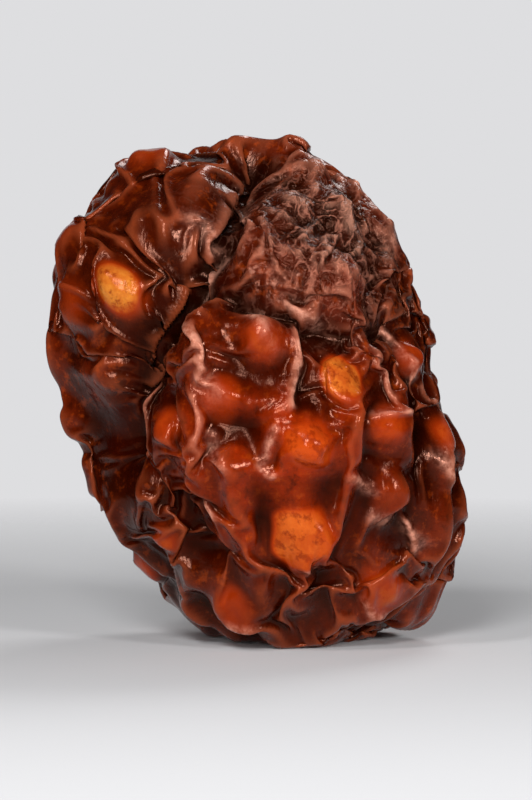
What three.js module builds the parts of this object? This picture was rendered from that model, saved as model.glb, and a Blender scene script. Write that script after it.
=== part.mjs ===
// A dried chinese lantern fruit (Physalis alkekengi), shelled from its papery lantern.
//
// The berry grew as one piece, so it is one closed solid. Its thin skin has shrunk onto the pulp and
// the flat seeds inside, which leaves five kinds of form, each added to the radius of one plain egg:
//   lobes     broad swellings and hollows of the whole body
//   creases   long folds where the skin sank between two lobes
//   wrinkles  raised folds of skin that run roughly from the stalk's end to the other
//   seeds     lens-shaped bumps pressed through the skin
//   scar      the ring and shallow cup where the stalk was, on top and facing back
//
// Units are millimetres, +Z is up, -Y is the berry's best side and +X its right. The origin is on the
// surface that the berry rests on, under the middle of its box.

import * as THREE from 'three';
import { ImprovedNoise } from 'three/addons/math/ImprovedNoise.js';
import { mergeVertices } from 'three/addons/utils/BufferGeometryUtils.js';

// ---- Driving dimensions ----
const WIDTH = 11.8; // across X, before the forms are added
const DEPTH = 11.2; // across Y
const HEIGHT = 16.4; // along Z
const SQUARENESS = 2.5; // the egg's outline above: 2 is an ellipse, and more fills its corners
const BASE_SQUARENESS = 2.1; // and below
const LEAN = -0.165; // sideways shift of the axis for each millimetre of height
const CENTRE_HEIGHT = 7.4; // from the surface that the berry rests on, up to the egg's centre
const SHRINK = 0.5; // how far the bare egg lies inside those dimensions, to leave room for the forms
const DENT_SIZE = 3.1; // distance from one soft dent to the next
const DENT_DEPTH = 0.55;
const WRINKLE_RISE = 0.34;
const WRINKLE_WIDTH = 0.45; // half-width of a wrinkle's crest
const SEED_WIDTH = 1.75; // a seed's disc, seen through the skin
const SEED_RISE = 0.4; // the most that a seed on the sides or back lifts the skin
const SEED_PLACES = 170; // places for seeds all over the skin
const DETAIL = 21; // steps along each edge of the icosahedron that carries the skin, less one

const MEAN_RADIUS = (WIDTH + DEPTH + HEIGHT) / 6;

// ---- Small helpers ----
const degrees = THREE.MathUtils.degToRad;
const smoothstep = THREE.MathUtils.smoothstep;
const noise = new ImprovedNoise();

// A repeatable number from 0 to 1 for each whole number.
function scatter(n) {
  const s = Math.sin(n * 127.1 + 311.7) * 43758.5453;
  return s - Math.floor(s);
}

// The direction at an azimuth round the berry (0 front, 90 right, 180 back) and a height angle.
function toward(azimuth, elevation) {
  const a = degrees(azimuth);
  const e = degrees(elevation);
  return new THREE.Vector3(Math.sin(a) * Math.cos(e), -Math.cos(a) * Math.cos(e), Math.sin(e));
}

// The direction of the point on the front that is x across and z above the resting surface.
function onFront(x, z) {
  const up = z - CENTRE_HEIGHT;
  const across = x - LEAN * up;
  const share = 1 - (across / (WIDTH / 2)) ** 2 - (up / (HEIGHT / 2)) ** 2;
  return new THREE.Vector3(across, -(DEPTH / 2) * Math.sqrt(Math.max(share, 0.02)), up).normalize();
}

// How far, in millimetres on the skin, direction d is from a path of directions.
const nearest = new THREE.Vector3();
function distanceToPath(d, path) {
  let closest = Infinity;
  for (const stretch of path) {
    stretch.closestPointToPoint(d, true, nearest);
    closest = Math.min(closest, nearest.normalize().distanceTo(d));
  }
  return closest * MEAN_RADIUS;
}

function pathThrough(directions) {
  return directions.slice(1).map((end, i) => new THREE.Line3(directions[i], end));
}

const bell = (x) => Math.exp(-x * x);

// ---- The plain egg ----
function eggRadius(d) {
  const across = Math.hypot(d.x / (WIDTH / 2), d.y / (DEPTH / 2));
  const along = Math.abs(d.z) / (HEIGHT / 2);
  const power = d.z > 0 ? SQUARENESS : BASE_SQUARENESS;
  return (across ** power + along ** power) ** (-1 / power) - SHRINK;
}

// ---- Lobes: [azimuth, elevation, half-width in degrees, rise] ----
const LOBES = [
  [-64, 30, 28, 0.85], // left shoulder
  [28, 44, 22, 0.45], // right-hand cap
  [10, -18, 38, 0.65], // front swelling
  [-78, -14, 24, 0.3], // left flank
  [74, -24, 28, 0.65], // right flank
  [-32, 4, 14, -0.4], // hollow beside the front swelling
  [80, 26, 22, -0.45], // hollow beside the cap
  [128, 18, 30, 0.55],
  [-128, 2, 32, 0.6],
  [178, -26, 30, 0.5],
  [160, 26, 22, -0.5],
  [100, -2, 18, -0.5],
  [-100, 24, 16, -0.45],
  [-160, -4, 16, -0.45],
  [-40, -66, 22, 0.25], // three broad feet
  [140, -66, 22, 0.1],
  [-130, -62, 24, 0.45],
];

const lobes = LOBES.map(([azimuth, elevation, spread, rise]) => ({
  at: toward(azimuth, elevation),
  spread: degrees(spread),
  rise,
}));

function lobeRise(d) {
  return lobes.reduce((sum, lobe) => sum + lobe.rise * bell(d.angleTo(lobe.at) / lobe.spread), 0);
}

function dentRise(d) {
  const p = d.clone().multiplyScalar(MEAN_RADIUS / DENT_SIZE);
  return DENT_DEPTH * noise.noise(p.x + 4.7, p.y + 9.2, p.z * 0.8 + 2.3);
}

// ---- Creases ----
const CREASES = [
  {
    // between the left shoulder and the cap, then down beside the front swelling
    path: [
      onFront(-0.6, 15.2),
      onFront(-1.3, 12.8),
      onFront(-2.6, 10.8),
      onFront(-3.9, 8.6),
      onFront(-4.2, 5.8),
    ],
    depth: 0.7,
    width: 0.75,
  },
  {
    // under the cap
    path: [onFront(-1.3, 11.6), onFront(0.4, 10.4), onFront(2.2, 9.7), onFront(3.9, 10.1)],
    depth: 0.4,
    width: 0.6,
  },
  {
    // between the front swelling and the right flank
    path: [toward(48, 26), toward(58, 4), toward(54, -18), toward(46, -40)],
    depth: 0.45,
    width: 0.65,
  },
  // round the sides and back
  { path: [toward(-96, 52), toward(-90, 20), toward(-102, -12), toward(-94, -44)], depth: 0.5, width: 0.75 },
  { path: [toward(96, 50), toward(104, 22), toward(94, -8), toward(104, -40)], depth: 0.6, width: 0.75 },
  { path: [toward(170, 48), toward(158, 30), toward(168, 6), toward(152, -24)], depth: 0.55, width: 0.75 },
  { path: [toward(-150, 48), toward(-142, 22), toward(-156, -8), toward(-148, -42)], depth: 0.5, width: 0.7 },
  { path: [toward(-142, 22), toward(-118, 14), toward(-100, 4)], depth: 0.4, width: 0.65 },
  { path: [toward(158, 30), toward(134, 38), toward(112, 30)], depth: 0.4, width: 0.65 },
].map((crease) => ({ ...crease, path: pathThrough(crease.path) }));

function creaseDepth(d) {
  let deep = 0;
  for (const { path, depth, width } of CREASES) deep += depth * bell(distanceToPath(d, path) / width);
  return deep;
}

// ---- Wrinkles ----
// The long ones on the front, between its seeds
const FRONT_WRINKLES = [
  [onFront(-2.1, 10.4), onFront(-2.2, 8.9), onFront(-2.3, 7.4), onFront(-2.0, 5.2)],
  [onFront(0.7, 9.8), onFront(0.5, 8.4), onFront(0.0, 6.8), onFront(0.1, 5.2)],
  [onFront(3.2, 9.8), onFront(3.3, 8.4), onFront(2.6, 6.9), onFront(2.5, 4.8), onFront(2.8, 3.2)],
  [onFront(4.4, 10.4), onFront(5.0, 8.2), onFront(5.1, 6.0)],
  [onFront(-1.0, 4.6), onFront(-0.4, 3.2), onFront(0.0, 2.0)],
];

// The others, each wandering down the sides and back
const SIDE_WRINKLES = 13;
function sideWrinkle(i) {
  const azimuth = 72 + (216 * (i + 0.5)) / SIDE_WRINKLES;
  const top = 46 - 34 * scatter(i + 40);
  const length = 40 + 34 * scatter(i + 60);
  const wander = (step) => 14 * (scatter(i * 5 + step + 80) - 0.5);
  return [0, 1, 2, 3].map((step) => toward(azimuth + wander(step), top - (length * step) / 3));
}

const wrinkles = [
  ...FRONT_WRINKLES,
  ...Array.from({ length: SIDE_WRINKLES }, (_, i) => sideWrinkle(i)),
].map(pathThrough);

function wrinkleRise(d) {
  const closest = Math.min(...wrinkles.map((path) => distanceToPath(d, path)));
  return WRINKLE_RISE * bell(closest / WRINKLE_WIDTH);
}

// ---- Seeds ----
// Those that show best on the front: [x, z, width, rise]
const FRONT_SEEDS = [
  [2.3, 8.4, 1.7, 0.52],
  [1.2, 6.4, 1.9, 0.55],
  [1.0, 3.6, 2.3, 0.7],
  [-0.4, 9.5, 1.5, 0.42],
  [-1.2, 7.7, 1.6, 0.44],
  [3.8, 6.8, 1.7, 0.44],
  [3.8, 4.7, 1.8, 0.44],
  [-3.1, 6.7, 1.6, 0.42],
  [-1.0, 5.8, 1.6, 0.36],
  [-1.3, 3.6, 1.6, 0.4],
  [-3.0, 3.4, 1.5, 0.42],
  [-0.9, 1.5, 1.8, 0.45],
  [3.5, 1.9, 1.8, 0.5],
  [-4.1, 10.8, 1.6, 0.44],
];

// The rest: an even spiral round the berry, each shaken a little and lifted by its own amount.
function allSeeds() {
  const seeds = FRONT_SEEDS.map(([x, z, width, rise]) => ({ at: onFront(x, z), width, rise }));
  const golden = Math.PI * (3 - Math.sqrt(5));
  const closest = (SEED_WIDTH * 0.98) / MEAN_RADIUS;
  for (let i = 0; i < SEED_PLACES; i++) {
    const height = 1 - (2 * (i + 0.5)) / SEED_PLACES;
    const turn = golden * i + 0.35 * (scatter(i) - 0.5);
    const across = Math.sqrt(1 - height * height);
    const shaken = height + 0.09 * (scatter(i + 500) - 0.5);
    const at = new THREE.Vector3(across * Math.cos(turn), across * Math.sin(turn), shaken).normalize();
    if (seeds.some((seed) => seed.at.angleTo(at) < closest)) continue;
    const width = SEED_WIDTH * (0.85 + 0.3 * scatter(i + 900));
    seeds.push({ at, width, rise: SEED_RISE * scatter(i + 1300) });
  }
  return seeds;
}

const seeds = allSeeds();

function seedRise(d) {
  let highest = 0;
  for (const { at, width, rise } of seeds) {
    const away = (d.angleTo(at) * MEAN_RADIUS) / (width / 2);
    if (away < 1.6) highest = Math.max(highest, rise * Math.exp(-(away ** 3)));
  }
  return highest;
}

// ---- The stalk's scar ----
const SCAR_AT = toward(172, 62);
const SCAR_RADIUS = 1.35;
const SCAR_RING_RISE = 0.3;
const SCAR_RING_WIDTH = 0.36;
const SCAR_CUP_DEPTH = 0.45;
const SCAR_CLEAR = 1.2; // how far from the ring the other relief comes back

function scarRise(away) {
  const ring = SCAR_RING_RISE * bell((away - SCAR_RADIUS) / SCAR_RING_WIDTH);
  return ring - SCAR_CUP_DEPTH * (1 - smoothstep(away, 0, SCAR_RADIUS));
}

// ---- The berry ----
function radius(d) {
  const fromScar = d.angleTo(SCAR_AT) * MEAN_RADIUS;
  const clear = smoothstep(fromScar, SCAR_RADIUS, SCAR_RADIUS + SCAR_CLEAR);
  const relief = dentRise(d) + Math.max(wrinkleRise(d), seedRise(d)) - creaseDepth(d);
  return eggRadius(d) + lobeRise(d) + clear * relief + scarRise(fromScar);
}

function berryGeometry() {
  const sphere = new THREE.IcosahedronGeometry(1, DETAIL);
  sphere.deleteAttribute('normal');
  sphere.deleteAttribute('uv');
  const geometry = mergeVertices(sphere, 1e-5);
  const position = geometry.getAttribute('position');
  const d = new THREE.Vector3();
  for (let i = 0; i < position.count; i++) {
    d.fromBufferAttribute(position, i).normalize();
    const p = d.clone().multiplyScalar(radius(d));
    p.x += LEAN * p.z;
    position.setXYZ(i, p.x, p.y, p.z);
  }
  settle(geometry);
  geometry.computeVertexNormals();
  return geometry;
}

// Presses the underside flat where the berry rests, and moves the origin under the middle of the box.
function settle(geometry) {
  const position = geometry.getAttribute('position');
  for (let i = 0; i < position.count; i++) {
    position.setZ(i, Math.max(position.getZ(i), -CENTRE_HEIGHT));
  }
  geometry.computeBoundingBox();
  const { min, max } = geometry.boundingBox;
  geometry.translate(-(min.x + max.x) / 2, -(min.y + max.y) / 2, CENTRE_HEIGHT);
}

const skin = new THREE.MeshStandardMaterial({ color: 0x7a2410, roughness: 0.38, metalness: 0 });

const berry = new THREE.Mesh(berryGeometry(), skin);
berry.name = 'berry';

const fruit = new THREE.Group();
fruit.add(berry);

export default fruit;
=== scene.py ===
"""A dried chinese lantern fruit, standing on a pale floor.

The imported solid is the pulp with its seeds. Here it gets its real skin: a thin sheet, cut too large
for the pulp it covers, that buckles into wrinkles as it is pulled down onto it. The wrinkles, the
seeds and the depth of the folds then drive one procedural material.

The solid is in metres. The skin is worked out in millimetres, and azimuths are 0 at the front (-Y)
and 90 on the right (+X).
"""

import math

import bpy
import numpy as np
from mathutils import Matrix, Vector
from mathutils.bvhtree import BVHTree


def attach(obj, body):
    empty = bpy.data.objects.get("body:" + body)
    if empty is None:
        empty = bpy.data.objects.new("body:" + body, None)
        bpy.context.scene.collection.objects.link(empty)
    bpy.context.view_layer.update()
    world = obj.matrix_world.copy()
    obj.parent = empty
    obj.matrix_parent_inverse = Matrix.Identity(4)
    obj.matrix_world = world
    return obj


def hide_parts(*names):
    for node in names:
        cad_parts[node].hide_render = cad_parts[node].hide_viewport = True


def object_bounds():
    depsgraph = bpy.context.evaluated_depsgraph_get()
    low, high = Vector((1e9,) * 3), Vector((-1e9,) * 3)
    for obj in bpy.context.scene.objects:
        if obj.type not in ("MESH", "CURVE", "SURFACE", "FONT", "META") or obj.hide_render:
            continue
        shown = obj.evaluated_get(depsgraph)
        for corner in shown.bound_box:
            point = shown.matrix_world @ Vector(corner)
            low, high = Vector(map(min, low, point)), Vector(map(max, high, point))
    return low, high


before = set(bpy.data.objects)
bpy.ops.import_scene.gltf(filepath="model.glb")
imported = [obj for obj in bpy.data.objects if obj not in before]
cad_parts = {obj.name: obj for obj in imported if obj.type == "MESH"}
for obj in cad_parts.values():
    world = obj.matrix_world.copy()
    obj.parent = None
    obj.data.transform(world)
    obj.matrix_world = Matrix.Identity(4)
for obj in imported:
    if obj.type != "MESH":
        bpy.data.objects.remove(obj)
CAD_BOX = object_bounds()

MM = 0.001
CAD_LOW = np.array(CAD_BOX[0]) / MM
CAD_HIGH = np.array(CAD_BOX[1]) / MM
WIDTH, DEPTH, HEIGHT = CAD_HIGH - CAD_LOW
MEAN_RADIUS = (WIDTH + DEPTH + HEIGHT) / 6

# The plain egg that the solid's forms were added to
EGG_WIDTH = 11.8
EGG_DEPTH = 11.2
EGG_HEIGHT = 16.4
LEAN = -0.165  # sideways shift for each millimetre of height
CENTRE = np.array([0.16, 0.17, 7.4], np.float32)  # the egg's, and every direction is from here
LEAST_SHARE = 0.02  # of the depth squared that a point at the outline still has

# ---- The skin ----
FINE_GRID = 128  # squares along each edge of the cube that becomes the skin
FOLD_GRID = FINE_GRID // 2
INSET = 0.2  # how far inside the solid's surface the pulp under the skin lies
FACET_SMOOTHING = 0.22  # millimetres, to take the solid's facets off the pulp
HULL_SMOOTHING = 1.0  # millimetres: the smooth form that the skin had before it shrank
HULL_GAP = 0.05  # the least distance from the pulp to that form
BED_SMOOTHING = 0.12  # millimetres, to take the coarse grid's steps off the long folds
TIME_STEP = 0.45
KEPT_SPEED = 0.9  # share of its speed that a point keeps from one step to the next


def toward(azimuth, elevation):
    """The direction at an azimuth and a height angle, in degrees."""
    a, e = math.radians(azimuth), math.radians(elevation)
    return np.array([math.sin(a) * math.cos(e), -math.cos(a) * math.cos(e), math.sin(e)])


def on_front(x, z):
    """The direction of the point on the front that is x across and z above the floor.

    A point past the egg's outline is taken to be just in front of it."""
    up = z - CENTRE[2]
    share = 1 - ((x - LEAN * up) / (EGG_WIDTH / 2)) ** 2 - (up / (EGG_HEIGHT / 2)) ** 2
    place = np.array([x, -(EGG_DEPTH / 2) * math.sqrt(max(share, LEAST_SHARE)), up])
    return place / np.linalg.norm(place)


# Zones of the skin: (direction, half-width in degrees)
CAP = (on_front(1.8, 12.6), 21)
FRONT = (on_front(0.6, 6.4), 36)
LEFT_FLANK = (on_front(-5.0, 5.6), 26)
# Parts of the skin that get painted shade in the material: the upper left shoulder, the lower left, the
# bottom and the right rim
SHADED_PARTS = [
    (on_front(-4.2, 11.6), 24),
    (on_front(-3.4, 3.4), 22),
    (on_front(0.6, 0.9), 20),
    (on_front(5.7, 6.5), 22),
]

# How the skin folds, first in long folds and then in fine wrinkles. Each rule is the value
# everywhere, then (zone, amount to add there) ...
LONG_FOLDS = {
    "steps": 260,
    "excess round": [0.15, (CAP, -0.04), (FRONT, -0.05), (LEFT_FLANK, -0.06)],
    "excess along": [0.08, (CAP, -0.03), (FRONT, -0.05), (LEFT_FLANK, -0.03)],
    "stiffness": [0.12],
    "suction": [0.001],
    "grip": [0.005],  # extra pull for each millimetre that the skin stands off what is under it
    "firmness": [0.5],  # push back for each millimetre that it sinks into it
    "tautness": 0.55,  # how much less the skin grows where it sticks to a seed
    "puckers": 0.0,  # how much more and less it grows in small spots
}
FINE_WRINKLES = {
    "steps": 200,
    "excess round": [0.17, (CAP, -0.05), (FRONT, -0.07), (LEFT_FLANK, -0.06)],
    "excess along": [0.13, (CAP, -0.03), (FRONT, -0.06), (LEFT_FLANK, -0.04)],
    "stiffness": [0.06, (CAP, -0.01), (FRONT, 0.02)],
    "suction": [0.0],
    "grip": [0.02, (CAP, 0.02), (FRONT, -0.01)],
    "firmness": [0.04, (FRONT, -0.02)],
    "tautness": 0.15,
    "puckers": 0.3,
}
PATCH_SIZE = 3.0  # millimetres: the skin grows more in some patches than in others
PATCHINESS = 0.5  # how much more or less, as a share
PUCKER_SIZE = 0.7
UNEVENNESS = 0.02  # millimetres, of the skin before it folds, and three times that on the cap


def bell(x):
    return np.exp(-x * x)


def smoothstep(x, low, high):
    t = np.clip((x - low) / (high - low), 0, 1)
    return t * t * (3 - 2 * t)


def zone(directions, where):
    """1 in the middle of a zone, falling to 0 outside it."""
    at, spread = where
    away = np.arccos(np.clip(directions @ at, -1, 1))
    return bell(away / math.radians(spread))


def field(directions, rule):
    """The value of a rule in each direction."""
    value = np.full(len(directions), rule[0])
    for where, amount in rule[1:]:
        value += amount * zone(directions, where)
    return value.astype(np.float32)


class Skin:
    """A closed grid of squares round a centre, with each point's direction and neighbours."""

    def __init__(self, grid):
        self.grid = grid
        self.directions, self.faces, self.quads = cube_sphere(grid)
        self.count = len(self.directions)
        q = self.quads
        sides = np.concatenate([q[:, [i, (i + 1) % 4]] for i in range(4)])
        sides = np.unique(np.sort(sides, axis=1), axis=0)
        diagonals = np.concatenate([q[:, [0, 2]], q[:, [1, 3]]])
        self.near = self.neighbours(sides)
        self.around = np.concatenate([self.near, self.neighbours(diagonals)], axis=1)
        own = np.arange(self.count)[:, None]
        self.near_real = (self.near != own).astype(np.float32)
        self.near_count = self.near_real.sum(1)
        self.around_real = (self.around != own).astype(np.float32)

    def neighbours(self, pairs):
        """Up to four neighbours of each point. Where there are only three, the fourth is the point."""
        pairs = np.concatenate([pairs, pairs[:, ::-1]])
        pairs = pairs[np.lexsort((pairs[:, 1], pairs[:, 0]))]
        first = np.searchsorted(pairs[:, 0], np.arange(self.count))
        rank = np.arange(len(pairs)) - first[pairs[:, 0]]
        table = np.repeat(np.arange(self.count)[:, None], 4, axis=1)
        table[pairs[:, 0], rank] = pairs[:, 1]
        return table

    def bend(self, values):
        """How far the mean of each point's neighbours is from the point."""
        around = values[self.near]
        if values.ndim == 1:
            return (around * self.near_real).sum(1) / self.near_count - values
        return (around * self.near_real[..., None]).sum(1) / self.near_count[:, None] - values

    def smooth(self, values, distance, share=0.9):
        """values smoothed over about that many millimetres."""
        spacing = math.pi / 2 * MEAN_RADIUS / self.grid
        for _ in range(max(1, round(2 * (distance / spacing) ** 2 / share))):
            values = values + share * self.bend(values)
        return values + 0.5 * self.bend(values)  # clears what is left at the grid's own scale

    def lumps(self, size, seed):
        """A repeatable random relief whose lumps are about size millimetres, mostly from -1 to 1."""
        relief = np.random.default_rng(seed).normal(size=self.count).astype(np.float32)
        relief = self.smooth(relief, size / 2)
        return relief / relief.std() / 2

    def look_up(self, values, directions):
        """values, given at the grid's own directions, read at other directions."""
        size = np.abs(directions)
        axis = size.argmax(1)
        rows = np.arange(len(directions))
        longest = size[rows, axis]
        face = axis * 2 + (directions[rows, axis] > 0)
        across = np.arctan(directions[rows, (axis + 1) % 3] / longest) * (4 / math.pi)
        up = np.arctan(directions[rows, (axis + 2) % 3] / longest) * (4 / math.pi)
        across = (across + 1) * (self.grid / 2)
        up = (up + 1) * (self.grid / 2)
        i = np.clip(across.astype(int), 0, self.grid - 1)
        j = np.clip(up.astype(int), 0, self.grid - 1)
        across -= i
        up -= j
        table = values[self.faces]
        low = table[face, j, i] * (1 - across) + table[face, j, i + 1] * across
        high = table[face, j + 1, i] * (1 - across) + table[face, j + 1, i + 1] * across
        return low * (1 - up) + high * up


def cube_sphere(grid):
    """(unit directions, point numbers on each of six faces, squares facing out)."""
    steps = np.arange(grid + 1)
    t = np.tan(math.pi / 4 * np.linspace(-1, 1, grid + 1))
    places, keys = [], []
    for axis in range(3):
        for sign in (-1, 1):
            place = np.zeros((grid + 1, grid + 1, 3))
            key = np.zeros((grid + 1, grid + 1, 3), int)
            place[..., axis] = sign
            key[..., axis] = grid if sign > 0 else 0
            place[..., (axis + 1) % 3] = t[None, :]
            key[..., (axis + 1) % 3] = steps[None, :]
            place[..., (axis + 2) % 3] = t[:, None]
            key[..., (axis + 2) % 3] = steps[:, None]
            places.append(place.reshape(-1, 3))
            keys.append(key.reshape(-1, 3))
    keys = np.concatenate(keys)
    code = (keys[:, 0] * (grid + 1) + keys[:, 1]) * (grid + 1) + keys[:, 2]
    _, first, number = np.unique(code, return_index=True, return_inverse=True)
    directions = np.concatenate(places)[first]
    directions /= np.linalg.norm(directions, axis=1)[:, None]
    faces = number.reshape(6, grid + 1, grid + 1)
    quads = []
    for index, face in enumerate(faces):
        square = np.stack([face[:-1, :-1], face[:-1, 1:], face[1:, 1:], face[1:, :-1]], -1)
        square = square.reshape(-1, 4)
        quads.append(square if index % 2 else square[:, ::-1])
    return directions, faces, np.concatenate(quads)


def solid_radius(skin, solid):
    """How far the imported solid's surface is from CENTRE, in each of the skin's directions."""
    points = [v.co / MM for v in solid.data.vertices]
    tree = BVHTree.FromPolygons(points, [tuple(p.vertices) for p in solid.data.polygons])
    centre = Vector(CENTRE)
    radius = np.empty(skin.count, np.float32)
    for i, direction in enumerate(skin.directions):
        radius[i] = (tree.ray_cast(centre, Vector(direction))[0] - centre).length
    return radius


# ---- The seeds: nearly the same places as in the solid ----
SEED_WIDTH = 1.75
SEED_PLACES = 170  # places for seeds all over the skin
SEED_SPACING = 0.98  # the least distance between two seeds, in seed widths
SEED_SHAKE_ROUND = 0.35  # radians: the span over which a seed is shaken round the berry
SEED_SHAKE_UP = 0.09  # and up or down, on a berry that is 2 high
SEED_UNEVENNESS = 0.16  # how far a seed's rim is from a circle, as a share of its radius
SEED_HIDDEN = 0.5  # millimetres: skin that stands off the pulp by this much hides most of a seed

# Those that show best on the front: (x, z, width, how clearly it shows, how yellow it is)
FRONT_SEEDS = [
    (2.35, 8.35, 1.65, 1.0, 0.55),
    (1.2, 6.4, 1.65, 0.9, 0.0),
    (1.1, 3.6, 1.95, 0.95, 0.25),
    (-0.1, 9.5, 1.4, 0.6, 0.3),
    (-1.4, 7.7, 1.6, 0.4, 0.2),
    (3.6, 6.9, 1.3, 0.5, 0.1),
    (3.8, 4.7, 1.4, 0.2, 0.0),
    (-3.1, 6.9, 1.2, 0.55, 0.1),
    (-1.0, 5.8, 1.2, 0.1, 0.2),
    (-1.3, 3.6, 1.2, 0.15, 0.1),
    (-3.0, 3.4, 1.0, 0.65, 0.6),
    (-0.9, 1.5, 1.4, 0.6, 0.5),
    (3.5, 1.9, 1.3, 0.65, 0.8),
    (-4.1, 10.8, 1.3, 0.9, 1.0),
]


def scatter(n):
    """A repeatable number from 0 to 1 for each whole number."""
    s = math.sin(n * 127.1 + 311.7) * 43758.5453
    return s - math.floor(s)


def leaning(direction):
    """Where a direction in the upright egg points once the egg leans."""
    moved = direction + np.array([LEAN * direction[2], 0, 0])
    return moved / np.linalg.norm(moved)


def all_seeds():
    """[(direction, width, how clearly it shows, how yellow it is), ...]"""
    seeds = [(on_front(x, z), *rest) for x, z, *rest in FRONT_SEEDS]
    golden = math.pi * (3 - math.sqrt(5))
    closest = math.cos(SEED_WIDTH * SEED_SPACING / MEAN_RADIUS)
    for i in range(SEED_PLACES):
        height = 1 - 2 * (i + 0.5) / SEED_PLACES
        turn = golden * i + SEED_SHAKE_ROUND * (scatter(i) - 0.5)
        across = math.sqrt(1 - height * height)
        shaken = height + SEED_SHAKE_UP * (scatter(i + 500) - 0.5)
        upright = np.array([across * math.cos(turn), across * math.sin(turn), shaken])
        at = leaning(upright / np.linalg.norm(upright))
        if any(at @ seed[0] > closest for seed in seeds):
            continue
        width = 0.75 * SEED_WIDTH * (0.8 + 0.4 * scatter(i + 900))
        shows = 0.6 * max(0.0, 1.6 * scatter(i + 1300) - 0.6) ** 2  # most of them hardly do
        seeds.append((at, width, shows, scatter(i + 1700)))
    return seeds


# ---- Forms of the pulp that are finer than the solid's ----
# Long ridges on the front, between its seeds, as (x, z) points
FRONT_RIDGES = [
    [(-2.2, 10.2), (-2.0, 9.0), (-1.7, 7.8), (-1.9, 6.6)],
    [(0.9, 9.8), (0.85, 8.6), (0.7, 7.4)],
    [(3.1, 9.8), (3.4, 8.8), (3.9, 7.7)],
    [(4.3, 9.8), (4.8, 8.7), (5.4, 7.2), (5.3, 5.8)],
    [(-3.8, 8.8), (-4.1, 7.4), (-3.9, 6.0)],
]
RIDGE_RISE = 0.24
RIDGE_WIDTH = 0.12
ROUNDING = 0.09  # millimetres: sticky sugar fills the sharpest folds of the front
ROUNDED_SHARE = 0.8  # how fully it does so in the middle of the front
WANDER = 0.2  # how far ridges, creases and the rims of seeds stray from their plain lines
WANDER_SIZE = 0.9  # and over what distance they come back
SEED_RISE = 0.26
SEED_RIM = 0.14  # how steep the seeds' edges are, in millimetres
MOAT_DEPTH = 0.16  # the skin sinks in round a seed
LUMP_SIZE = 1.2
LUMP_RISE = 0.17
STREAK_RISE = 0.12  # of the highlight streaks
CAP_CRINKLES = [(0.52, 0.22, 41), (0.36, 0.22, 42)]  # (size, rise, random seed)

# Streaks of the front, raised a little and painted pale as painted highlights: ((x, z) points,
# half-width)
HIGHLIGHT_STREAKS = [
    ([(-2.1, 9.9), (-1.7, 8.5)], 0.12),
    ([(-1.6, 8.1), (-1.4, 7.6)], 0.26),
    ([(-1.5, 6.6), (-1.1, 5.8)], 0.13),
    ([(-0.4, 10.1), (0.3, 9.1)], 0.19),
    ([(0.82, 9.6), (0.82, 7.5)], 0.10),
    ([(0.3, 6.8), (-0.3, 5.9), (0.1, 5.5)], 0.09),
    ([(3.2, 9.5), (3.85, 7.9)], 0.14),
    ([(4.2, 9.8), (4.9, 8.2)], 0.16),
    ([(3.3, 7.2), (4.2, 7.2)], 0.16),
    ([(2.6, 5.3), (3.2, 4.9)], 0.16),
    ([(3.4, 4.1), (3.7, 3.8)], 0.20),
    ([(4.3, 3.7), (4.6, 3.2)], 0.22),
    ([(5.1, 6.0), (5.3, 5.4)], 0.14),
    ([(0.9, 2.9), (1.4, 2.7)], 0.17),
    ([(-1.8, 4.4), (-1.6, 4.0)], 0.13),
    ([(-1.0, 1.4), (-0.4, 1.2)], 0.12),
    ([(3.0, 1.5), (3.5, 1.0)], 0.14),
    ([(-2.2, 11.5), (-1.4, 12.5)], 0.12),
    ([(-2.2, 13.2), (-1.8, 12.8)], 0.20),
    ([(-0.7, 14.2), (-0.5, 13.3)], 0.16),
    ([(2.5, 14.5), (3.1, 13.8), (3.5, 13.0), (3.6, 12.1)], 0.28),
    ([(0.8, 10.6), (1.7, 10.0)], 0.12),
]

# Creases of the front: ((x, z) points, depth, half-width)
FRONT_CREASES = [
    ([(-0.8, 15.6), (-1.2, 14.0), (-1.5, 12.6), (-2.8, 10.6), (-4.0, 8.4)], 0.6, 0.5),
    ([(-1.5, 11.4), (-0.3, 10.4), (1.2, 10.0), (2.8, 9.6), (4.0, 9.9)], 0.2, 0.35),
]


def away_from_path(directions, path):
    """How far each direction is from a path of (x, z) points on the front, in millimetres."""
    closest = np.full(len(directions), np.inf)
    path = [on_front(x, z) for x, z in path]
    for start, end in zip(path, path[1:]):
        along = end - start
        share = np.clip((directions - start) @ along / (along @ along), 0, 1)[:, None]
        nearest = start + share * along
        nearest /= np.linalg.norm(nearest, axis=1)[:, None]
        closest = np.minimum(closest, np.linalg.norm(directions - nearest, axis=1))
    return closest * MEAN_RADIUS


def strayed(skin):
    """The skin's directions, each shifted a little, so that forms placed by them look unruled."""
    shift = np.stack([skin.lumps(WANDER_SIZE, seed) for seed in (21, 22, 23)], axis=1)
    directions = skin.directions + shift * (WANDER / MEAN_RADIUS)
    return directions / np.linalg.norm(directions, axis=1)[:, None]


def ridge_lines(skin, directions, width):
    """Up to 1 along the ridges of the front, higher in some stretches than in others."""
    height = np.clip(0.75 + 0.5 * skin.lumps(1.6, 31), 0.1, 1)
    lines = np.zeros(skin.count)
    for path in FRONT_RIDGES:
        lines = np.maximum(lines, np.exp(-away_from_path(directions, path) / width))
    return lines * height


def highlight_streaks(directions):
    """Up to 1 along the streaks of the front where highlights are painted."""
    pale = np.zeros(len(directions))
    for path, width in HIGHLIGHT_STREAKS:
        pale = np.maximum(pale, bell(away_from_path(directions, path) / width))
    return pale


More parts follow.
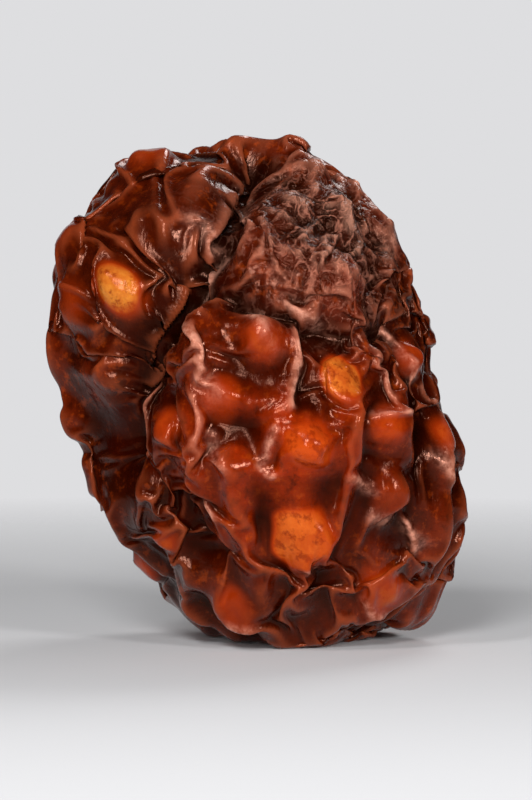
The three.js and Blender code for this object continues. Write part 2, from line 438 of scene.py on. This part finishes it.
def fine_relief(skin, seeds):
    """Ridges, seeds, creases and lumps that the fine wrinkles lie over, in millimetres."""
    directions = strayed(skin)
    relief = np.zeros(skin.count)
    moat = np.zeros(skin.count)
    for at, width, shows, _ in seeds:
        away = np.linalg.norm(directions - at, axis=1) * MEAN_RADIUS - width / 2
        strength = 0.8 - 0.1 * shows
        lens = SEED_RISE * strength * (1 - smoothstep(away, -0.3 * width, SEED_RIM))
        relief = np.maximum(relief, lens)
        moat = np.maximum(moat, MOAT_DEPTH * strength * bell((away - 1.5 * SEED_RIM) / SEED_RIM))
    relief -= moat
    relief = np.maximum(relief, RIDGE_RISE * ridge_lines(skin, directions, RIDGE_WIDTH))
    relief += STREAK_RISE * highlight_streaks(directions)
    for path, depth, width in FRONT_CREASES:
        relief -= depth * bell(away_from_path(directions, path) / width)
    return relief + LUMP_RISE * skin.lumps(LUMP_SIZE, 5)


def crinkles(skin):
    """The net of fine, sharp wrinkles on the dry cap, in millimetres."""
    relief = np.zeros(skin.count)
    for size, rise, seed in CAP_CRINKLES:
        relief -= rise * np.abs(skin.lumps(size, seed))
    return relief - relief.mean()


def seed_cover(directions, seeds, edge=0.15):
    """(1 over a seed's disc and 0 away from it, how yellow that seed is) in each direction.

    Each seed counts by how clearly it shows, and edge is how soft its rim is, in millimetres."""
    waves = np.sin(directions @ (9, -14, 11) + 1) * np.sin(directions @ (13, 10, -12))
    uneven = 1 + SEED_UNEVENNESS * waves
    cover = np.zeros(len(directions), np.float32)
    yellow = np.zeros(len(directions), np.float32)
    for at, width, shows, hue in seeds:
        away = np.linalg.norm(directions - at, axis=1) * MEAN_RADIUS * uneven
        blur = edge + 0.4 * (1.2 - shows)  # a seed under thicker skin has a softer rim
        disc = shows * (1 - smoothstep(away, width / 2 - blur, width / 2 + blur / 2))
        yellow = np.where(disc > cover, hue, yellow)
        cover = np.maximum(cover, disc)
    return cover, yellow


# ---- The buckling ----
def outward(place):
    """(direction away from CENTRE, distance from it) of each place."""
    offset = place - CENTRE
    distance = np.sqrt((offset * offset).sum(1))
    return offset / distance[:, None], distance


def sheet_growth(skin, place, rest, seeds, rules):
    """How much too long each spring of the skin grows, as a share of its length."""
    directions = skin.directions
    level = np.cross([0, 0, 1], directions)
    level /= np.maximum(np.linalg.norm(level, axis=1), 1e-6)[:, None]
    link = place[skin.around] - place[:, None]
    roundness = ((link * level[:, None]).sum(2) / np.maximum(rest, 1e-6)) ** 2
    along = field(directions, rules["excess along"])[:, None]
    sideways = field(directions, rules["excess round"])[:, None]
    patchy = 1 + PATCHINESS * np.clip(skin.lumps(PATCH_SIZE, 9), -1, 1)
    patchy += rules["puckers"] * np.clip(skin.lumps(PUCKER_SIZE, 10), -1, 1)
    taut = 1 - rules["tautness"] * seed_cover(directions, seeds, edge=0.3)[0]
    return (along + (sideways - along) * roundness) * (patchy * taut)[:, None]


def buckle(skin, hull, bed, seeds, rules):
    """The place of each point of the skin once it has shrunk onto its bed, in millimetres.

    The skin starts on the hull. Each point is joined by springs to the eight round it, and the
    springs grow until the skin is too large and has to fold. hull and bed are distances from CENTRE.
    """
    directions = skin.directions.astype(np.float32)
    place = CENTRE + directions * hull[:, None]
    rest = np.linalg.norm(place[skin.around] - place[:, None], axis=2)
    growth = sheet_growth(skin, place, rest, seeds, rules).astype(np.float32)
    stiffness = 8 * field(directions, rules["stiffness"])[:, None]
    suction = field(directions, rules["suction"])
    grip = field(directions, rules["grip"])
    firmness = field(directions, rules["firmness"])
    uneven = UNEVENNESS * (1 + 2 * zone(skin.directions, CAP))
    place += directions * (uneven * skin.lumps(0.5, 3)).astype(np.float32)[:, None]
    speed = np.zeros_like(place)
    growing_steps = rules["steps"] / 2
    for step in range(rules["steps"]):
        wanted = rest * (1 + growth * min(1, (step + 1) / growing_steps))
        link = place[skin.around] - place[:, None]
        length = np.sqrt((link * link).sum(2)) + 1e-9
        pull = (((1 - wanted / length) * skin.around_real)[..., None] * link).sum(1)
        pull -= skin.bend(stiffness * skin.bend(place))
        out, height = outward(place)
        gap = height - skin.look_up(bed, out)
        pull -= (suction + np.where(gap > 0, grip, firmness) * gap)[:, None] * out
        speed = speed * KEPT_SPEED + pull * TIME_STEP
        place = place + speed * TIME_STEP
        place[:, 2] = np.maximum(place[:, 2], 0)
    return place


def skin_on(solid, skin, seeds):
    """(the pulp's distance from CENTRE in each of the skin's directions, the skin's points)."""
    coarse = Skin(FOLD_GRID)
    pulp = coarse.smooth(solid_radius(coarse, solid), FACET_SMOOTHING) - INSET
    hull = np.maximum(coarse.smooth(pulp + INSET, HULL_SMOOTHING), pulp + HULL_GAP)
    folded = buckle(coarse, hull, pulp, seeds, LONG_FOLDS)
    folded = coarse.look_up(outward(folded)[1], skin.directions)
    bed = skin.smooth(folded, BED_SMOOTHING) + fine_relief(skin, seeds)
    place = buckle(skin, bed, bed, seeds, FINE_WRINKLES)
    rounded = ROUNDED_SHARE * zone(skin.directions, FRONT)
    place += rounded[:, None] * (skin.smooth(place, ROUNDING) - place)
    place += skin.directions * (zone(skin.directions, CAP) * crinkles(skin))[:, None]
    return coarse.look_up(pulp, skin.directions), place.astype(np.float32)


def measure(skin, pulp, place, seeds):
    """What the material needs to know at each point, as {name: value from 0 to 1}."""
    out, height = outward(place)
    gap = height - skin.look_up(pulp, out)
    normal = point_normals(skin, place)
    # How sharply the skin bends, above 0 where it is a crest and below 0 where it is a groove
    sharp = -(skin.smooth(skin.bend(place), 0.1) * normal).sum(1)
    sharp /= np.abs(sharp).mean()
    # Its smooth form, and how far it swells out of a smoother one
    broad = skin.smooth(height, 0.7)
    mid = skin.smooth(height, 0.2) - skin.smooth(height, 1.5)
    close = bell(gap / SEED_HIDDEN)
    cover, yellow = seed_cover(out, seeds)
    halo = seed_cover(out, seeds, edge=0.6)[0]
    return {
        "seed": cover * close,
        "yellow": yellow,
        "halo": skin.smooth(halo, 0.5),
        # these drive painted shade in grooves, folds and hollows, and painted light on crests and
        # swells
        "crest": smoothstep(sharp, 0.3, 3.0),
        "groove": smoothstep(-sharp, 0.2, 3.0),
        "deep": smoothstep(broad - height, -0.05, 0.35),
        # painted highlight along the front's ridges
        "ridge_highlight": ridge_lines(skin, strayed(skin), 0.25) * smoothstep(sharp, 0.5, 3.0),
        # painted highlight along the streaks
        "highlight_streak": highlight_streaks(strayed(skin)) * (0.4 + 0.6 * smoothstep(sharp, 0.0, 2.0)),
        "hollow": smoothstep(-mid, -0.02, 0.3),
        "high": smoothstep(mid, 0.0, 0.3),
        "front": zone(out, FRONT),
        # painted shade over the shaded parts
        "dark": np.max([zone(out, part) for part in SHADED_PARTS], axis=0),
        "cap": np.clip(1.15 * zone(out, CAP), 0, 1),
        "net": smoothstep(crinkles(skin), 0.07, 0.17) ** 2,
    }


def point_normals(skin, place):
    corner = place[skin.quads]
    flat = np.cross(corner[:, 2] - corner[:, 0], corner[:, 3] - corner[:, 1])
    normal = np.zeros_like(place)
    for i in range(4):
        np.add.at(normal, skin.quads[:, i], flat)
    return normal / np.linalg.norm(normal, axis=1)[:, None]


def skin_object(skin, place, measures):
    mesh = bpy.data.meshes.new("skin")
    mesh.vertices.add(skin.count)
    mesh.vertices.foreach_set("co", (place * MM).astype(np.float32).ravel())
    mesh.loops.add(skin.quads.size)
    mesh.loops.foreach_set("vertex_index", skin.quads.ravel())
    mesh.polygons.add(len(skin.quads))
    mesh.polygons.foreach_set("loop_start", np.arange(len(skin.quads)) * 4)
    mesh.polygons.foreach_set("use_smooth", np.ones(len(skin.quads), bool))
    mesh.update(calc_edges=True)
    for name, value in measures.items():
        layer = mesh.attributes.new(name, "FLOAT", "POINT")
        layer.data.foreach_set("value", np.asarray(value, np.float32))
    piece = bpy.data.objects.new("skin", mesh)
    bpy.context.scene.collection.objects.link(piece)
    return piece


# ---- The material ----
RIDGED_RANGE = (0.4, 1.6)  # where nearly all of a ridged noise's values lie


def colour(red, green, blue):
    """A screen colour, 0 to 255 each, as the linear colour that a shader takes."""
    shares = [c / 255 for c in (red, green, blue)]
    linear = [c / 12.92 if c <= 0.04045 else ((c + 0.055) / 1.055) ** 2.4 for c in shares]
    return (*linear, 1)


class Nodes:
    """Short ways to add nodes to one tree and join them."""

    def __init__(self, tree):
        self.tree = tree

    def node(self, kind, inputs=(), **settings):
        made = self.tree.nodes.new(kind)
        for key, value in settings.items():
            setattr(made, key, value)
        for key, value in dict(inputs).items():
            self.give(made.inputs[key], value)
        return made

    def give(self, socket, value):
        if isinstance(value, bpy.types.NodeSocket):
            self.tree.links.new(value, socket)
        else:
            socket.default_value = value

    def spread(self, value, low, high, to_low=0.0, to_high=1.0):
        """value from low to high, as to_low to to_high."""
        made = {"Value": value, "From Min": low, "From Max": high, "To Min": to_low, "To Max": to_high}
        return self.node("ShaderNodeMapRange", made).outputs["Result"]

    def maths(self, operation, first, second):
        return self.node("ShaderNodeMath", {0: first, 1: second}, operation=operation).outputs[0]

    def scale(self, value, factor):
        return self.maths("MULTIPLY", value, factor)

    def mixed(self, share, first, second):
        """The second shader laid over the first, by a share from 0 to 1."""
        return self.node("ShaderNodeMixShader", {0: share, 1: first, 2: second}).outputs[0]


class Shader(Nodes):
    """One new material and its nodes."""

    def __init__(self, name):
        self.material = bpy.data.materials.new(name)
        self.material.use_nodes = True
        super().__init__(self.material.node_tree)
        self.surface = self.tree.nodes["Principled BSDF"]
        self.output = self.tree.nodes["Material Output"]

    def measure(self, name):
        return self.node("ShaderNodeAttribute", attribute_name=name).outputs["Fac"]

    def noise(self, size, detail=3.0, roughness=0.5, stretch=(1, 1, 1), distortion=0.0, ridged=False):
        """Noise whose features are about size millimetres."""
        place = self.node("ShaderNodeTexCoord").outputs["Object"]
        place = self.node("ShaderNodeMapping", {"Vector": place, "Scale": stretch}).outputs["Vector"]
        made = {
            "Vector": place,
            "Scale": 1 / (size * MM),
            "Detail": detail,
            "Roughness": roughness,
            "Distortion": distortion,
        }
        if not ridged:
            return self.node("ShaderNodeTexNoise", made).outputs["Fac"]
        made |= {"Offset": 1, "Gain": 2}
        lines = self.node("ShaderNodeTexNoise", made, noise_type="RIDGED_MULTIFRACTAL").outputs["Fac"]
        return self.spread(lines, *RIDGED_RANGE)

    def blend(self, share, below, above):
        """The colour above laid over the colour below, by a share from 0 to 1."""
        made = self.node("ShaderNodeMix", {0: share, 6: below, 7: above}, data_type="RGBA")
        return made.outputs[2]

    def bump(self, height, depth, strength=1.0, below=None):
        """A normal with relief of that many millimetres, over another normal."""
        made = {"Height": height, "Distance": depth * MM, "Strength": strength}
        if below is not None:
            made["Normal"] = below
        return self.node("ShaderNodeBump", made).outputs["Normal"]


def glossy_colour(s, mottle, fleck):
    """Mahogany, vivid on the front; painted shade on the shaded parts and in every hollow and fold,
    painted light on the swells, painted highlight along the ridges, and pale crests that are partly
    sugar bloom and partly painted highlight.
    """
    blotch = s.noise(3.4, detail=2)
    tone = s.scale(s.spread(blotch, 0.35, 0.65), 0.6)
    tone = s.maths("ADD", tone, s.scale(s.spread(mottle, 0.35, 0.65), 0.4))
    base = s.blend(s.spread(tone, 0.0, 0.5), colour(16, 3, 0), colour(46, 9, 1))
    base = s.blend(s.spread(tone, 0.5, 1.0), base, colour(84, 21, 3))
    vivid = s.scale(s.measure("front"), s.spread(mottle, 0.3, 0.7, 0.3, 1.0))
    base = s.blend(vivid, base, colour(164, 42, 2))
    base = s.blend(s.scale(s.measure("halo"), 0.45), base, colour(160, 50, 6))
    base = s.blend(s.spread(fleck, 0.54, 0.72, 0.0, 0.5), base, colour(184, 70, 14))
    # painted light: the swells of the skin are lighter and more orange
    base = s.blend(s.scale(s.measure("high"), 0.25), base, colour(136, 38, 6))
    base = s.blend(s.spread(fleck, 0.46, 0.3, 0.0, 0.6), base, colour(40, 6, 0))
    # painted shade on the shaded parts of the berry
    base = s.blend(s.scale(s.measure("dark"), 0.75), base, colour(46, 7, 0))
    # painted shade in hollows, deep folds and grooves
    base = s.blend(s.scale(s.measure("hollow"), 0.75), base, colour(48, 5, 0))
    base = s.blend(s.scale(s.measure("deep"), 0.9), base, colour(16, 2, 0))
    base = s.blend(s.scale(s.measure("groove"), 0.7), base, colour(16, 3, 0))
    # pale along the crests: partly sugar bloom, partly painted highlight
    base = s.blend(s.scale(s.measure("crest"), 0.4), base, colour(178, 82, 46))
    # painted highlight: pale pink lines along the crests of the front's ridges
    painted_ridge_highlight = s.scale(s.measure("ridge_highlight"), s.spread(fleck, 0.35, 0.6, 0.2, 0.8))
    return s.blend(painted_ridge_highlight, base, colour(208, 138, 114))


def cap_colour(s, mottle, crinkle):
    """Dull brown, with painted shade in its grooves, under a pale net of wrinkles and crests that is
    partly dry bloom and partly painted highlight.
    """
    dull = s.blend(s.spread(mottle, 0.35, 0.65), colour(24, 6, 2), colour(64, 23, 12))
    # pale lines on the crinkles: partly dry bloom, partly painted highlight
    dull = s.blend(s.spread(crinkle, 0.72, 1.0, 0.0, 0.6), dull, colour(184, 118, 96))
    # painted shade in the cap's grooves
    dull = s.blend(s.scale(s.measure("groove"), 0.8), dull, colour(38, 12, 4))
    # pale net: partly dry bloom, partly painted highlight
    dull = s.blend(s.scale(s.measure("net"), 0.6), dull, colour(170, 104, 82))
    # pale crests: partly sugar bloom, partly painted highlight
    return s.blend(s.scale(s.measure("crest"), 0.55), dull, colour(206, 146, 122))


def kernel_colour(s, mottle, fleck, grain):
    """The seeds as they look through the skin: orange to yellow, speckled, with painted shade in the
    grooves over them.
    """
    kernel = s.blend(s.measure("yellow"), colour(200, 76, 18), colour(216, 134, 46))
    kernel = s.blend(s.spread(grain, 0.3, 0.7, 0.0, 0.35), kernel, colour(176, 58, 10))
    kernel = s.blend(s.spread(mottle, 0.4, 0.6, 0.0, 0.55), kernel, colour(160, 46, 6))
    kernel = s.blend(s.spread(fleck, 0.5, 0.38, 0.0, 0.7), kernel, colour(120, 30, 4))
    # painted shade where grooves cross a seed
    return s.blend(s.scale(s.measure("groove"), 0.6), kernel, colour(110, 28, 4))


def skin_relief(s, cap, crinkle, grain):
    """The normal, with relief finer than the mesh's: strings, the cap's crinkles and a grain."""
    strings = s.noise(0.42, detail=3, stretch=(1, 1, 0.4), distortion=0.4, ridged=True)
    relief = s.bump(strings, 0.01, 0.8)
    relief = s.bump(crinkle, 0.12, s.spread(cap, 0.1, 0.9, 0.0, 1.0), below=relief)
    return s.bump(grain, 0.009, 0.9, below=relief)


def skin_material():
    """Dried berry skin: translucent mahogany, orange over its seeds and dull on the crinkled cap, with
    painted highlight streaks.
    """
    s = Shader("dried_skin")
    cap = s.measure("cap")
    seed = s.measure("seed")
    mottle = s.noise(0.75, detail=4, roughness=0.6)
    fleck = s.noise(0.34, detail=3, roughness=0.65)
    grain = s.noise(0.16, detail=2)
    crinkle = s.noise(0.4, detail=3, distortion=0.5, ridged=True)

    base = glossy_colour(s, mottle, fleck)
    base = s.blend(s.scale(cap, 0.92), base, cap_colour(s, mottle, crinkle))
    # painted highlight: pale pink streaks laid along the given paths
    highlight_streak = s.scale(s.measure("highlight_streak"), s.spread(fleck, 0.42, 0.6, 0.15, 0.85))
    base = s.blend(highlight_streak, base, colour(216, 150, 126))
    base = s.blend(s.spread(seed, 0.0, 0.6), base, colour(164, 48, 6))
    base = s.blend(s.spread(seed, 0.35, 0.9), base, kernel_colour(s, mottle, fleck, grain))
    s.give(s.surface.inputs["Base Color"], base)

    rough = s.spread(mottle, 0.3, 0.7, 0.12, 0.26)
    rough = s.maths("ADD", rough, s.scale(cap, 0.12))
    s.give(s.surface.inputs["Roughness"], rough)
    gloss = s.spread(s.measure("hollow"), 0.1, 0.8, 0.5, 0.22)  # less where the skin sinks in
    s.give(s.surface.inputs["Specular IOR Level"], gloss)
    s.surface.inputs["IOR"].default_value = 1.42
    s.surface.inputs["Specular Tint"].default_value = colour(255, 180, 152)
    s.surface.inputs["Subsurface Weight"].default_value = 0.04
    s.surface.inputs["Subsurface Radius"].default_value = (1.0, 0.3, 0.12)
    s.surface.inputs["Subsurface Scale"].default_value = 0.5 * MM
    s.give(s.surface.inputs["Normal"], skin_relief(s, cap, crinkle, grain))
    return s.material


# ---- The stage ----
PALE = colour(222, 222, 224)
WHITE = (1, 1, 1, 1)
FLOOR_RADIUS = 0.3
FLOOR_SIDES = 96
FLOOR_FADES = (0.018, 0.06)  # the floor turns into the backdrop between these distances
BEHIND = (0.85, 1.0)  # how nearly a reflection points straight back, for it to show the backdrop


def floor():
    """A pale disc that fades into the backdrop, so that no horizon shows."""
    mesh = bpy.data.meshes.new("floor")
    turns = [2 * math.pi * i / FLOOR_SIDES for i in range(FLOOR_SIDES)]
    rim = [(FLOOR_RADIUS * math.cos(turn), FLOOR_RADIUS * math.sin(turn), 0) for turn in turns]
    mesh.from_pydata(rim, [], [list(range(FLOOR_SIDES))])
    piece = bpy.data.objects.new("floor", mesh)
    bpy.context.scene.collection.objects.link(piece)
    s = Shader("floor")
    s.surface.inputs["Base Color"].default_value = PALE
    s.surface.inputs["Roughness"].default_value = 0.9
    s.surface.inputs["Specular IOR Level"].default_value = 0.1
    place = s.node("ShaderNodeTexCoord").outputs["Object"]
    away = s.node("ShaderNodeVectorMath", {0: place}, operation="LENGTH").outputs["Value"]
    clear = s.node("ShaderNodeBsdfTransparent").outputs["BSDF"]
    fading = s.mixed(s.spread(away, *FLOOR_FADES), s.surface.outputs["BSDF"], clear)
    s.give(s.output.inputs["Surface"], fading)
    mesh.materials.append(s.material)


def softbox(name, place, size, power):
    """A square lamp aimed at the middle of the berry. place is in millimetres from it."""
    lamp = bpy.data.lights.new(name, "AREA")
    lamp.size = size * MM
    lamp.energy = power
    piece = bpy.data.objects.new(name, lamp)
    piece.location = Vector(CENTRE * MM) + Vector(place) * MM
    piece.rotation_euler = (-Vector(place)).to_track_quat("-Z", "Y").to_euler()
    piece.visible_camera = False
    bpy.context.scene.collection.objects.link(piece)


def surroundings(light_strength, room_strength):
    """Even light all round. The eye sees a pale backdrop instead, and so does gloss behind the berry.

    In front of the berry gloss sees the dim room that the camera stands in."""
    world = bpy.data.worlds.new("studio")
    world.use_nodes = True
    world.node_tree.nodes.clear()
    s = Nodes(world.node_tree)

    def background(tint, strength):
        return s.node("ShaderNodeBackground", {"Color": tint, "Strength": strength}).outputs[0]

    path = s.node("ShaderNodeLightPath").outputs
    towards = s.node("ShaderNodeTexCoord").outputs["Generated"]
    back = s.node("ShaderNodeSeparateXYZ", {0: towards}).outputs["Y"]
    reflected = s.mixed(s.spread(back, *BEHIND), background(WHITE, room_strength), background(PALE, 1))
    seen = s.maths("MAXIMUM", path["Is Camera Ray"], path["Is Transmission Ray"])
    lit = s.mixed(seen, background(WHITE, light_strength), background(PALE, 1))
    shown = s.mixed(path["Is Glossy Ray"], lit, reflected)
    s.node("ShaderNodeOutputWorld", {"Surface": shown})
    bpy.context.scene.world = world


def camera(elevation, lens, height_share):
    """Looks at the berry's middle from the front, which then fills that share of the frame's height."""
    lens_object = bpy.data.cameras.new("camera")
    lens_object.lens = lens
    piece = bpy.data.objects.new("camera", lens_object)
    away = HEIGHT * MM / height_share / 2 / (lens_object.sensor_width / 2 / lens)
    back = Vector(toward(0, elevation))
    piece.location = Vector(CENTRE * MM) + back * away
    piece.rotation_euler = (-back).to_track_quat("-Z", "Y").to_euler()
    lens_object.clip_start = 0.1 * away
    bpy.context.scene.collection.objects.link(piece)
    bpy.context.scene.camera = piece


# ---- The whole ----
skin = Skin(FINE_GRID)
seeds = all_seeds()
pulp, place = skin_on(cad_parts["berry"], skin, seeds)
berry = skin_object(skin, place, measure(skin, pulp, place, seeds))
berry.data.materials.append(skin_material())
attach(berry, "root")
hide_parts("berry")

floor()
surroundings(light_strength=0.06, room_strength=0.01)
softbox("key", (-40, -55, 70), 14, 0.019)
softbox("fill", (56, -72, 24), 15, 0.036)
softbox("low", (-20, -90, 12), 22, 0.028)
softbox("front", (-14, -88, 44), 22, 0.046)
softbox("rim", (30, 60, 70), 34, 0.026)
camera(elevation=3, lens=200, height_share=0.62)
bpy.context.scene.view_settings.view_transform = "Standard"
